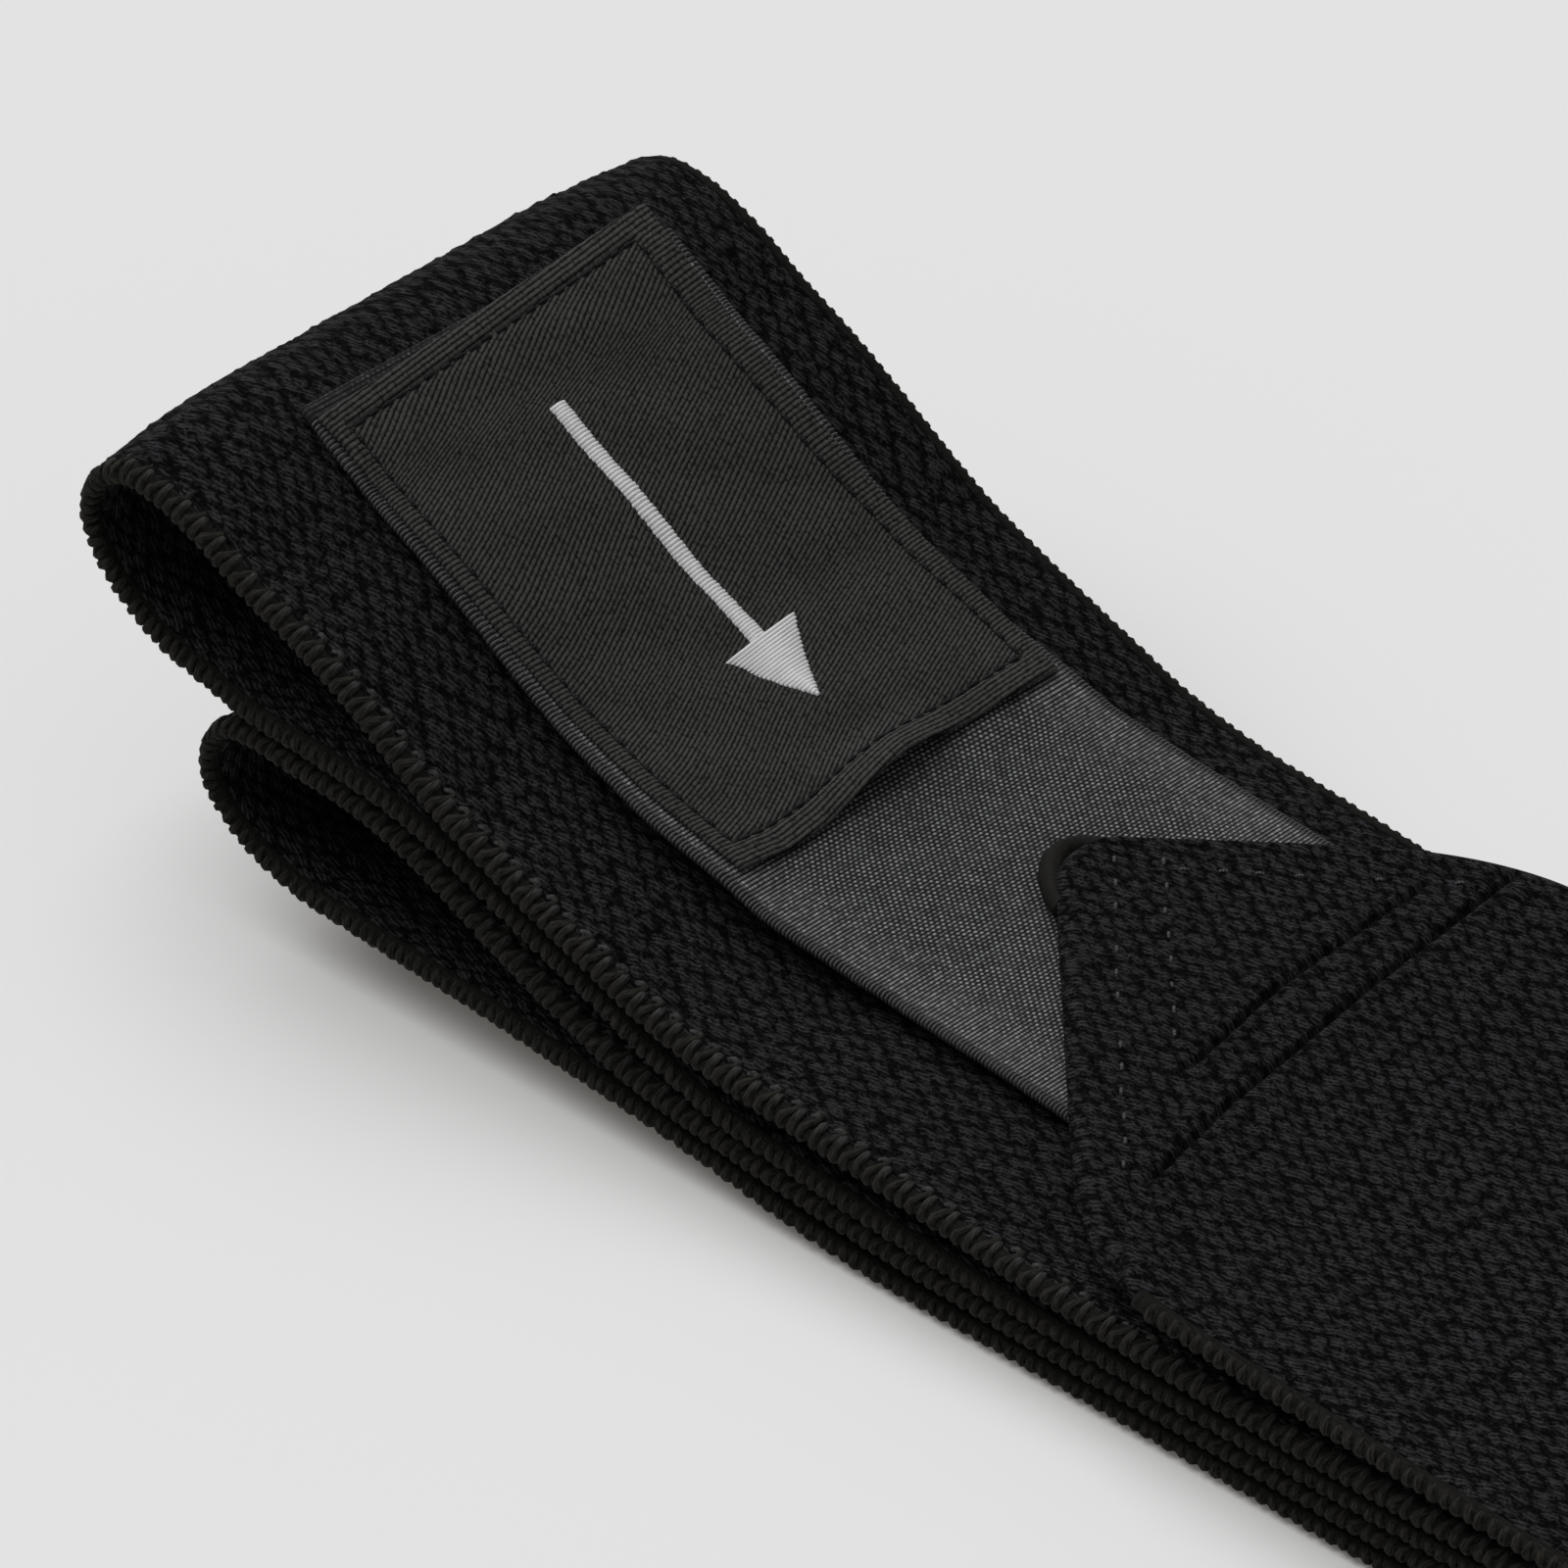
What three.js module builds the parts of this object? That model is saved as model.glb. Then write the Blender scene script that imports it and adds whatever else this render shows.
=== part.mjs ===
import * as THREE from 'three';

// Knee wrap: an elastic knit band folded to and fro into five layers, lying on its lowest layer.
// Millimetres. X runs from the open loops to the closed folds, Y across the band, Z up from the floor.

// Band and its sewn edges
const BAND_WIDTH = 80;
const KNIT_THICKNESS = 2.2;
const EDGE_WIDTH = 2.6;
const PIECE_GAP = 0.3;
const HALF_WIDTH = BAND_WIDTH / 2;
const HALF_KNIT = KNIT_THICKNESS / 2;
const KNIT_EDGE = HALF_WIDTH - EDGE_WIDTH - PIECE_GAP;

// Tape tab and label
const TAB_WIDTH = 51;
const TAB_THICKNESS = 1.2;
const TAB_FAR_END = 12.2;
const TAB_SEWN_END = 134;
const LABEL_WIDTH = 49;
const LABEL_THICKNESS = 0.8;
const LABEL_FAR_END = 13.4;
const LABEL_NEAR_END = 74;

// Pointed end, its corners folded under at 45 degrees
const TIP_X = 96.2;
const TIP_Y = 5.9;
const TIP_ROUND = 7;
const TIP_LEAN = 0.8;
const CORNER_ROUND = 12;
const FLAP_THICKNESS = 2.2;
const FLAP_EDGE = 141;
const FRONT_EDGE_START = 145;
const BACK_EDGE_START = 136;

// Hidden right side
const FREE_END_X = 412;
const FOLD_X = 424;

// Height of the middle of each layer at stations along X
const STATIONS = [
  { x: 24, floor: 9.9, fourth: 23.2, third: 26.3, second: 41.3 },
  { x: 31, floor: 7.8, fourth: 22.7, third: 25.8, second: 38.5 },
  { x: 38, floor: 7.3, fourth: 22.2, third: 25.3, second: 35.2 },
  { x: 45, floor: 6.9, fourth: 20.7, third: 24.5, second: 30.9 },
  { x: 52, floor: 6.5, fourth: 18.0, third: 22.7, second: 26.9 },
  { x: 59, floor: 6.1, fourth: 14.8, third: 20.1, second: 23.9 },
  { x: 66, floor: 5.5, fourth: 11.9, third: 17.6, second: 21.2 },
  { x: 73, floor: 5.0, fourth: 9.3, third: 15.2, second: 18.7 },
  { x: 80, floor: 4.4, fourth: 7.5, third: 12.3, second: 16.2 },
  { x: 90, floor: 3.3, fourth: 6.2, third: 9.4, second: 14.2 },
  { x: 100, floor: 2.0, fourth: 5.2, third: 8.2, second: 13.3, top: 20.5 },
  { x: 112, floor: 1.2, fourth: 4.4, third: 7.2, second: 12.2, top: 19.4 },
  { x: 130, floor: 1.1, fourth: 3.8, third: 6.5, second: 10.5, top: 17.4 },
  { x: 150, floor: 1.1, fourth: 3.7, third: 6.3, second: 9.2, top: 15.1 },
  { x: 185, floor: 1.1, fourth: 3.7, third: 6.3, second: 8.9, top: 12.9 },
  { x: 230, floor: 1.1, fourth: 3.7, third: 6.3, second: 8.9, top: 11.5 },
  { x: 395, floor: 1.1, fourth: 3.7, third: 6.3, second: 8.9, top: 11.5 },
  { x: FOLD_X, fourth: 3.7, third: 7.9, second: 10.5, top: 14.7 },
];

// Open loops at the left, as points of the middle line
const LOWER_LOOP = [
  { x: 20.7, z: 12.0 },
  { x: 18.3, z: 14.5 },
  { x: 17.6, z: 17.3 },
  { x: 18.3, z: 20.3 },
  { x: 20.5, z: 22.6 },
];
const UPPER_LOOP = [
  { x: 17.5, z: 27.9 },
  { x: 11.5, z: 29.5 },
  { x: 6.3, z: 32.5 },
  { x: 2.7, z: 36.2 },
  { x: 1.2, z: 40.3 },
  { x: 2.6, z: 44.3 },
  { x: 6.6, z: 47.0 },
  { x: 12, z: 46.6 },
  { x: 18, z: 44.5 },
];

// Air between the tab and the layer that it lies on
const TAB_RISE = [
  { x: 12, rise: 0.3 },
  { x: 25, rise: 0.5 },
  { x: 45, rise: 0.7 },
  { x: 62, rise: 1.2 },
  { x: 75, rise: 1.7 },
  { x: 100, rise: 1.2 },
  { x: 134, rise: 0.8 },
];
const TAB_MIDDLE = [
  { x: 12, y: 3.8 },
  { x: 45, y: 3.0 },
  { x: 134, y: 3.4 },
];

// Swell of the upper loop and second layer behind their drawn-in front edge, and its share across
const SWELL = [
  { x: 0, swell: 1.5 },
  { x: 3, swell: 2.5 },
  { x: 12, swell: 2.7 },
  { x: 24, swell: 2.2 },
  { x: 38, swell: 0.8 },
  { x: 80, swell: 0.3 },
  { x: 100, swell: 0 },
];
const SWELL_SHARE = [
  { x: -40, share: 0 },
  { x: -36, share: 0.25 },
  { x: -30, share: 0.65 },
  { x: -22, share: 0.88 },
  { x: 25, share: 1.3 },
  { x: 40, share: 1 },
];

const clamp01 = (value) => THREE.MathUtils.clamp(value, 0, 1);

// Value of a table column at x, straight between rows
function column(table, key, x) {
  let row = 0;
  while (row < table.length - 2 && table[row + 1].x < x) {
    row += 1;
  }
  const a = table[row];
  const b = table[row + 1];
  return THREE.MathUtils.lerp(a[key], b[key], clamp01((x - a.x) / (b.x - a.x)));
}

// Smaller of two values with a rounded corner between them
function softMin(a, b, round) {
  const share = clamp01(0.5 + (0.5 * (b - a)) / round);
  return THREE.MathUtils.lerp(b, a, share) - round * share * (1 - share);
}

// Knots of one layer from the stations that name it
function layerKnots(key) {
  const rows = STATIONS.filter((row) => row[key] !== undefined);
  return rows.map((row) => ({ x: row.x, z: row[key], layer: key }));
}

// Half turn that joins two layers at the closed right side
function foldKnots(lower, upper) {
  const last = STATIONS[STATIONS.length - 1];
  const radius = (last[upper] - last[lower]) / 2;
  const middle = last[lower] + radius;
  const steps = [-0.5, 0, 0.5];
  return steps.map((step) => ({
    x: FOLD_X + radius * Math.cos(step * Math.PI * 0.5),
    z: middle + radius * Math.sin(step * Math.PI * 0.5),
    layer: 'fold',
  }));
}

// Middle line of the whole band, from the free end on the floor to the pointed end on top
function bandKnots() {
  const named = (rows, layer) => rows.map((row) => ({ ...row, layer }));
  const floor = layerKnots('floor').reverse();
  return [
    { x: FREE_END_X, z: HALF_KNIT, layer: 'floor' },
    ...floor,
    ...named(LOWER_LOOP, 'lowerLoop'),
    ...layerKnots('fourth'),
    ...foldKnots('fourth', 'third'),
    ...layerKnots('third').reverse(),
    ...named(UPPER_LOOP, 'upperLoop'),
    ...layerKnots('second'),
    ...foldKnots('second', 'top'),
    ...layerKnots('top').reverse(),
    { x: TIP_X, z: 20.9, layer: 'tip' },
  ];
}

const KNOTS = bandKnots();
const PATH = new THREE.CatmullRomCurve3(
  KNOTS.map((knot) => new THREE.Vector3(knot.x, 0, knot.z)),
  false,
  'centripetal',
);
const LAST = KNOTS.length - 1;

const LOOP_NOSE = KNOTS.findIndex((knot) => knot.layer === 'upperLoop' && knot.z > 40);
const SECOND_END = KNOTS.findIndex((knot) => knot.layer === 'second' && knot.x > 185);

// Place on the middle line with its normal and swell, counted in knots
function station(count) {
  const share = clamp01(count / LAST);
  const point = PATH.getPoint(share);
  const along = PATH.getTangent(share);
  const swells = count > LOOP_NOSE - 1 && count < SECOND_END;
  const swell = swells ? column(SWELL, 'swell', point.x) * clamp01(count - LOOP_NOSE + 1) : 0;
  return { x: point.x, z: point.z, nx: -along.z, nz: along.x, swell };
}

// Knot count at which a layer passes x
function countAt(layer, x) {
  const rising = layer === 'second' || layer === 'fourth';
  const own = KNOTS.map((knot, index) => ({ knot, index })).filter((item) => item.knot.layer === layer);
  let low = own[0].index - 3;
  let high = Math.min(own[own.length - 1].index + 1, LAST);
  for (let turn = 0; turn < 48; turn += 1) {
    const middle = (low + high) / 2;
    const before = PATH.getPoint(clamp01(middle / LAST)).x < x;
    if (before === rising) {
      low = middle;
    } else {
      high = middle;
    }
  }
  return (low + high) / 2;
}

// Half width of the pointed end, measured from its middle line
function tipWidth(x, limit) {
  const depth = Math.max(x - TIP_X, 0);
  const turn = TIP_ROUND * (1 - Math.SQRT1_2);
  const round = Math.sqrt(Math.max(2 * TIP_ROUND * depth - depth * depth, 0));
  const straight = TIP_ROUND * Math.SQRT1_2 + depth - turn;
  const width = depth < turn ? round : straight;
  return Math.max(softMin(width, limit, CORNER_ROUND), 0.6);
}

// Side limits of the knit at a place on the top layer
function tipSides(x) {
  const limit = (start) => THREE.MathUtils.lerp(HALF_WIDTH, KNIT_EDGE, clamp01(x - start + 0.6));
  return {
    front: TIP_Y - tipWidth(x, limit(FRONT_EDGE_START) + TIP_Y),
    back: TIP_Y + tipWidth(x, limit(BACK_EDGE_START) - TIP_Y),
  };
}

// Rise of the back side of the pointed end and of the tab under it
function lean(x, y) {
  const share = clamp01((x - 60) / 40) * clamp01((230 - x) / 80);
  return (TIP_LEAN * share * y) / BAND_WIDTH;
}

// Counts along the path, closer together where it bends
function sectionCounts(to) {
  const bent = ['fold', 'lowerLoop', 'upperLoop'];
  const counts = [];
  KNOTS.forEach((knot, index) => {
    const parts = bent.includes(knot.layer) || knot.x < 60 ? 2 : 1;
    for (let part = 0; part < parts; part += 1) {
      counts.push(index + part / parts);
    }
  });
  return counts.filter((count) => count < to);
}

// Closed solid swept through rings that all have the same number of points
function sweep(rings) {
  const size = rings[0].length;
  const positions = rings.flat().flatMap((point) => [point.x, point.y, Math.max(point.z, 0)]);
  const faces = [];
  for (let row = 0; row < rings.length - 1; row += 1) {
    for (let side = 0; side < size; side += 1) {
      const a = row * size + side;
      const b = row * size + ((side + 1) % size);
      faces.push(a, b, a + size, b, b + size, a + size);
    }
  }
  const end = (rings.length - 1) * size;
  for (let side = 0; side < size / 2 - 1; side += 1) {
    const [a, b, c, d] = [side, side + 1, size - 2 - side, size - 1 - side];
    faces.push(a, c, b, a, d, c);
    faces.push(end + a, end + b, end + c, end + a, end + c, end + d);
  }
  const geometry = new THREE.BufferGeometry();
  geometry.setAttribute('position', new THREE.Float32BufferAttribute(positions, 3));
  geometry.setIndex(faces);
  return faceOutward(geometry);
}

// Turn every face outward, judged by the enclosed volume
function faceOutward(geometry) {
  const points = geometry.getAttribute('position');
  const index = geometry.getIndex();
  const corner = (place) => new THREE.Vector3().fromBufferAttribute(points, index.getX(place));
  let volume = 0;
  for (let face = 0; face < index.count; face += 3) {
    volume += corner(face).dot(corner(face + 1).cross(corner(face + 2)));
  }
  if (volume < 0) {
    for (let face = 0; face < index.count; face += 3) {
      const held = index.getX(face + 1);
      index.setX(face + 1, index.getX(face + 2));
      index.setX(face + 2, held);
    }
  }
  geometry.computeVertexNormals();
  return geometry;
}

// Point beside a place on a middle line
function beside(place, y, offset) {
  const raise = place.leans ? lean(place.x, y) : 0;
  const out = offset + place.swell * column(SWELL_SHARE, 'share', y);
  return { x: place.x + place.nx * out, y, z: place.z + place.nz * out + raise };
}

// Flat ring across a strip: a row of points on the normal's side and a row on the other
function flatRing(place, sides, ahead, behind, rows) {
  const shares = Array.from({ length: rows + 1 }, (_, row) => row / rows);
  const across = shares.map((share) => THREE.MathUtils.lerp(sides.front, sides.back, share));
  const near = across.map((y) => beside(place, y, ahead));
  const far = across.map((y) => beside(place, y, -behind)).reverse();
  return [...near, ...far];
}

// Places of the top layer between its plain run and the point
const TOP_PLACES = [
  214, 190, 172, 160, 152, 149.2,
  FRONT_EDGE_START + 0.6, FRONT_EDGE_START - 0.8, FLAP_EDGE + 0.5, FLAP_EDGE - 0.5, 139,
  BACK_EDGE_START + 0.6, BACK_EDGE_START - 0.8, 132, 128, 122, 116, 110, 105.5, 102, 99.4, 97.8, 96.9, 96.4,
];
const ROWS = 6;
const TOP_START = countAt('top', 230);

// Knit band with its doubled pointed end
function makeBand() {
  const plainSides = { front: -KNIT_EDGE, back: KNIT_EDGE };
  const plain = sectionCounts(TOP_START).map(station);
  const rings = plain.map((place) => flatRing(place, plainSides, HALF_KNIT, HALF_KNIT, ROWS));
  TOP_PLACES.forEach((x) => {
    const place = { ...station(countAt('top', x)), leans: true };
    const flap = FLAP_THICKNESS * clamp01(FLAP_EDGE + 0.5 - x);
    rings.push(flatRing(place, tipSides(x), HALF_KNIT + flap, HALF_KNIT, ROWS));
  });
  return sweep(rings);
}

// Overlocked thread edge along one selvedge, from the free end to the folded corner
function makeEdge(side, start) {
  const half = EDGE_WIDTH / 2;
  const middle = side * (HALF_WIDTH - half);
  const outline = [
    { y: -half, n: HALF_KNIT * 0.5 },
    { y: -half * 0.6, n: HALF_KNIT },
    { y: half * 0.6, n: HALF_KNIT },
    { y: half, n: HALF_KNIT * 0.5 },
    { y: half, n: -HALF_KNIT * 0.5 },
    { y: half * 0.6, n: -HALF_KNIT },
    { y: -half * 0.6, n: -HALF_KNIT },
    { y: -half, n: -HALF_KNIT * 0.5 },
  ];
  const ring = (place, size) => outline.map((at) => beside(place, middle + at.y * size, at.n * size));
  const rings = sectionCounts(TOP_START).map((count) => ring(station(count), 1));
  const top = TOP_PLACES.filter((x) => x > start + 2);
  top.forEach((x) => rings.push(ring({ ...station(countAt('top', x)), leans: true }, 1)));
  rings.push(ring({ ...station(countAt('top', start + 0.7)), leans: true }, 0.6));
  return sweep(rings);
}

// Strip that follows the second layer at a height above its upper face
function makeStrip(from, to, sections, size, height) {
  const rings = [];
  for (let step = 0; step <= sections; step += 1) {
    const x = THREE.MathUtils.lerp(from, to, step / sections);
    const under = station(countAt('second', x));
    const half = size.thickness / 2;
    const offset = HALF_KNIT + column(TAB_RISE, 'rise', x) + height + half;
    const place = { ...under, x: under.x + under.nx * offset, z: under.z + under.nz * offset, leans: true };
    const middle = column(TAB_MIDDLE, 'y', x);
    const sides = { front: middle - size.width / 2, back: middle + size.width / 2 };
    rings.push(flatRing(place, sides, half, half, 4));
  }
  return sweep(rings);
}

const TAB = { width: TAB_WIDTH, thickness: TAB_THICKNESS };
const LABEL = { width: LABEL_WIDTH, thickness: LABEL_THICKNESS };
const LABEL_BASE = TAB_THICKNESS + PIECE_GAP;

const KNIT = new THREE.MeshStandardMaterial({ color: 0x1d1e21, roughness: 0.95 });
const THREAD = new THREE.MeshStandardMaterial({ color: 0x23221e, roughness: 0.9 });
const TAPE = new THREE.MeshStandardMaterial({ color: 0x5b5d60, roughness: 0.85 });
const TWILL = new THREE.MeshStandardMaterial({ color: 0x2a2a2a, roughness: 0.85 });

const PIECES = [
  { name: 'wrap_band', shape: makeBand(), material: KNIT },
  { name: 'edge_overlock_front', shape: makeEdge(-1, FRONT_EDGE_START), material: THREAD },
  { name: 'edge_overlock_back', shape: makeEdge(1, BACK_EDGE_START), material: THREAD },
  { name: 'hook_tab', shape: makeStrip(TAB_FAR_END, TAB_SEWN_END, 30, TAB, 0), material: TAPE },
  { name: 'label', shape: makeStrip(LABEL_FAR_END, LABEL_NEAR_END, 20, LABEL, LABEL_BASE), material: TWILL },
];

// Middle of the underside on the origin
const group = new THREE.Group();
group.name = 'knee_wrap';
PIECES.forEach((piece) => {
  const mesh = new THREE.Mesh(piece.shape, piece.material);
  mesh.name = piece.name;
  group.add(mesh);
});
const box = new THREE.Box3().setFromObject(group);
const middle = box.getCenter(new THREE.Vector3());
PIECES.forEach((piece) => piece.shape.translate(-middle.x, -middle.y, -box.min.z));

export default group;
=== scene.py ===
import math

import bpy
import numpy as np
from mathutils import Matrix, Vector


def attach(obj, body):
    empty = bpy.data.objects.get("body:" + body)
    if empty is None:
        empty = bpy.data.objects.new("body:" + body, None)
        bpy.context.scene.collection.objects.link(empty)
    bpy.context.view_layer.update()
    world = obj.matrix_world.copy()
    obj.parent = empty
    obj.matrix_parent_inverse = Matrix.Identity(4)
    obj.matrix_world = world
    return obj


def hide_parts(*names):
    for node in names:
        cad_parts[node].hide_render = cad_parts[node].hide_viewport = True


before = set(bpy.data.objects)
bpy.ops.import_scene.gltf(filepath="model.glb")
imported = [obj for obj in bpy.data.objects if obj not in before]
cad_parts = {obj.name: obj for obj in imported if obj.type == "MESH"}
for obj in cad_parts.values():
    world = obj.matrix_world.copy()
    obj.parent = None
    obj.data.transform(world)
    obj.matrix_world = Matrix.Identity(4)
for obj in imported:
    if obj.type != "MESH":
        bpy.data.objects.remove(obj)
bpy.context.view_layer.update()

# Knee wrap: an elastic knit band folded to and fro, with overlocked edges, a sewn tape tab and a label.
# Tables and lengths are in millimetres, with x = 0 at the front of the upper loop. Meshes are in metres.

FRAME_X = 212.417
HALF_WIDTH = 40.0
EDGE_REACH = {-1: 40.45, 1: 40.0}
HALF_KNIT = 1.1
KNIT_SIDE = 39.0
TAB_HALF = 25.7
TAB_THICKNESS = 1.2
TAB_ENDS = (13.2, 134.0)
LABEL_HALF = 24.5
TIP_X = 95.4
TIP_Y = 5.9
TIP_ROUND = 7.0
TIP_LEAN = 0.8
CORNER_ROUND = 12.0
FLAP_THICKNESS = 2.2
FLAP_EDGE = 141.0
FRONT_EDGE_START = 145.0
BACK_EDGE_START = 136.0
FREE_END_X = 412.0
FOLD_X = 424.0
NONE = float("nan")
LOOP_SHIFT = 12.0
LOOP_PITCH = 2.6
TAPE_RIB = 0.47
# which face of the band is fine, the points across it, and the step between those a plain face keeps
PLAIN, OUTSIDE, POINT = 0, 1, 2
FACE_POINTS = 97
PLAIN_EVERY = 6
# how far the edges' threads stand up, how far they lap inward, and the start of their random draws
EDGE_ROOM = {-1: 1.0, 1: -0.85}
EDGE_LAP = {-1: 1.0, 1: 0.75}
EDGE_SEED = {-1: 5, 1: 9}
# along, inward, up and radius of the overlock thread that lies as a hook, and of the straight one
HOOK_ROUTE = [
    (-0.40, 2.40, 0.92, 0.32), (0.05, 2.80, 1.02, 0.45), (0.60, 2.75, 1.04, 0.50),
    (0.80, 2.20, 1.04, 0.52), (0.45, 1.45, 1.00, 0.50), (-0.05, 0.85, 0.66, 0.52),
    (-0.20, 0.50, 0.00, 0.56), (0.00, 0.75, -0.58, 0.52), (0.30, 1.45, -0.84, 0.34),
]
STRAND_ROUTE = [
    (-0.15, 2.50, 0.94, 0.38), (-0.10, 2.00, 1.02, 0.54), (0.00, 1.35, 0.98, 0.54),
    (0.05, 0.80, 0.66, 0.54), (0.00, 0.48, 0.00, 0.56), (0.00, 0.75, -0.58, 0.52),
    (0.10, 1.40, -0.84, 0.34),
]
OVERLOCK_FLATNESS = 0.62
# points of a path to a knot
PARTS = 48

# x, then the height of the middle of the floor, fourth, third, second and top layer
STATIONS = np.array([
    (24, 9.9, 23.2, 26.3, 41.3, NONE),
    (31, 7.8, 22.7, 25.8, 38.5, NONE),
    (38, 7.3, 22.2, 25.3, 35.2, NONE),
    (45, 6.9, 20.7, 24.5, 30.9, NONE),
    (52, 6.5, 18.0, 22.7, 26.9, NONE),
    (59, 6.1, 14.8, 20.1, 23.9, NONE),
    (66, 5.5, 11.9, 17.6, 21.2, NONE),
    (73, 5.0, 9.3, 15.2, 18.7, NONE),
    (80, 4.4, 7.5, 12.3, 16.2, NONE),
    (90, 3.3, 6.2, 9.4, 14.2, NONE),
    (100, 2.0, 5.2, 8.2, 13.3, 20.8),
    (112, 1.2, 4.4, 7.2, 12.2, 19.7),
    (130, 1.1, 3.8, 6.5, 10.5, 17.6),
    (150, 1.1, 3.7, 6.3, 9.2, 15.1),
    (185, 1.1, 3.7, 6.3, 8.9, 12.9),
    (230, 1.1, 3.7, 6.3, 8.9, 11.5),
    (395, 1.1, 3.7, 6.3, 8.9, 11.5),
    (FOLD_X, NONE, 3.7, 7.9, 10.5, 14.7),
])
FLOOR, FOURTH, THIRD, SECOND, TOP = 1, 2, 3, 4, 5
LOWER_LOOP = [(20.7, 12.0), (18.3, 14.5), (17.6, 17.3), (18.3, 20.3), (20.5, 22.6)]
UPPER_LOOP = [
    (17.5, 27.9), (11.5, 29.5), (6.3, 32.5), (2.7, 36.2), (1.2, 40.3),
    (2.6, 44.3), (6.6, 47.0), (12.0, 46.6), (18.0, 44.5),
]
# x and air under the tab, x and middle of the tab, x and swell of the upper loop, y and share of that swell
TAB_RISE = np.array([
    (12, 0.15), (25, 0.4), (45, 1.0), (62, 2.2), (75, 2.9), (88, 2.6), (97, 1.7), (112, 1.6), (134, 0.8),
])
TAB_MIDDLE = np.array([
    (12, 3.5), (18, 2.5), (33, 1.9), (45, 1.5), (64, 0.6), (80, 1.7), (96, 3.8), (134, 4.5),
])
SWELL = np.array([(0, 1.5), (3, 2.5), (12, 2.7), (24, 2.2), (38, 0.8), (80, 0.3), (100, 0.0)])
SWELL_SHARE = np.array([(-40, 0), (-36, 0.25), (-30, 0.65), (-22, 0.88), (25, 1.3), (40, 1.0)])
# y and x of the two seams that cross the pointed end
SEAM_FAR = np.array([
    (-25.4, 135.0), (-13.1, 132.7), (-4.9, 131.8), (11.6, 129.9), (24.6, 128.9), (34.5, 128.1),
])
SEAM_NEAR = np.array([(-10.2, 126.3), (-3.3, 125.2), (3.7, 124.1), (11.4, 123.7), (25.2, 123.3)])
# ends of the rows of pale stitches on the pointed end, and their pitch
POINT_ROWS = [((99.0, 7.7), (133.3, -28.1)), ((102.5, 11.1), (123.7, -10.5)), ((104.5, 9.0), (127.0, 31.0))]
POINT_STITCH_PITCH = 3.5
# x and y of the middle of the bound roll that shows under the point, its height and its radius
POINT_ROLL = np.array([
    (100.2, -1.2), (97.8, 0.4), (95.8, 2.2), (94.2, 4.3),
    (93.6, 6.3), (94.2, 8.1), (95.8, 9.4), (98.4, 10.3),
])
ROLL_HEIGHT = 19.5
ROLL_RADIUS = 1.45

# Label: y of its front and back edge along x, x of its far end at both edges and of its near end across it
LABEL_LENGTH = 60.7
LABEL_FRONT = np.array([(12, -22.2), (20, -22.4), (33, -22.9), (45, -22.9), (62, -23.2), (74.6, -22.4)])
LABEL_BACK = np.array([
    (12, 28.2), (15, 27.3), (19, 26.6), (28, 26.1), (40, 25.9), (49, 26.4), (63, 26.0), (74, 25.1),
])
LABEL_FAR = (15.2, 12.2)
LABEL_NEAR = np.array([
    (0, 74.4), (0.12, 75.3), (0.25, 75.0), (0.38, 74.1), (0.5, 73.5), (0.62, 73.4), (1, 73.3),
])
LABEL_GAP = 0.08
# hems at the far, near and front edge, and at the back edge's two ends
HEM_FAR = 2.5
HEM_NEAR = 3.1
HEM_FRONT = 2.2
HEM_BACK = (4.0, 2.2)
HEM_STITCH_PITCH = 2.1
# ends of the stitched arrow along the label, and where its head starts
MARK_ENDS = (12.0, 50.0)
MARK_HEAD = 41.0
# share of the label's width, and how far its near end stands off the tape there
LABEL_RIPPLE = np.array([
    (0, 0.1), (0.08, 0.4), (0.16, 0.1), (0.26, 0.3), (0.36, 1.2), (0.45, 2.2), (0.52, 2.4),
    (0.58, 1.8), (0.66, 0.6), (0.74, 0.1), (0.84, 0.45), (0.93, 0.3), (1, 0.1),
])

# Photograph's camera: turn, height angle, image focal length in pixels, distance and aim
CAMERA_TURN = 43.945
CAMERA_RISE = 34.049
CAMERA_FOCAL = 10537.0
CAMERA_DISTANCE = 1049.02
CAMERA_AIM = (60.898, 0.0, 15.695)
IMAGE_SIZE = 1600.0
# Studio light: where the key light comes from, its spread in degrees and its power, and the sky's power
KEY_FROM = (-0.6, -0.04, 1.0)
KEY_SPREAD = 66
KEY_POWER = 2.22
SKY_POWER = 0.21


def look(table, x):
    """Value of a two-column table at x."""
    return np.interp(x, table[:, 0], table[:, 1])


def ramp(value, low, high):
    """Smooth step from 0 at low to 1 at high."""
    share = np.clip((value - low) / (high - low), 0, 1)
    return share * share * (3 - 2 * share)


def running(steps):
    """Running sum that starts at zero."""
    return np.concatenate([[0], np.cumsum(steps)])


def travelled(points):
    """Length along a chain of points up to each of them."""
    return running(np.linalg.norm(np.diff(points, axis=0), axis=1))


def placed(points):
    """Points of the tables' frame in the part's frame, in metres."""
    return (np.asarray(points, float) - (FRAME_X, 0, 0)) / 1000


def layer_knots(layer):
    rows = STATIONS[~np.isnan(STATIONS[:, layer])]
    return [(row[0], row[layer]) for row in rows]


def fold_knots(lower, upper):
    last = STATIONS[-1]
    radius = (last[upper] - last[lower]) / 2
    turns = [-math.pi / 4, 0, math.pi / 4]
    return [(FOLD_X + radius * math.cos(a), last[lower] + radius * (1 + math.sin(a))) for a in turns]


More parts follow.
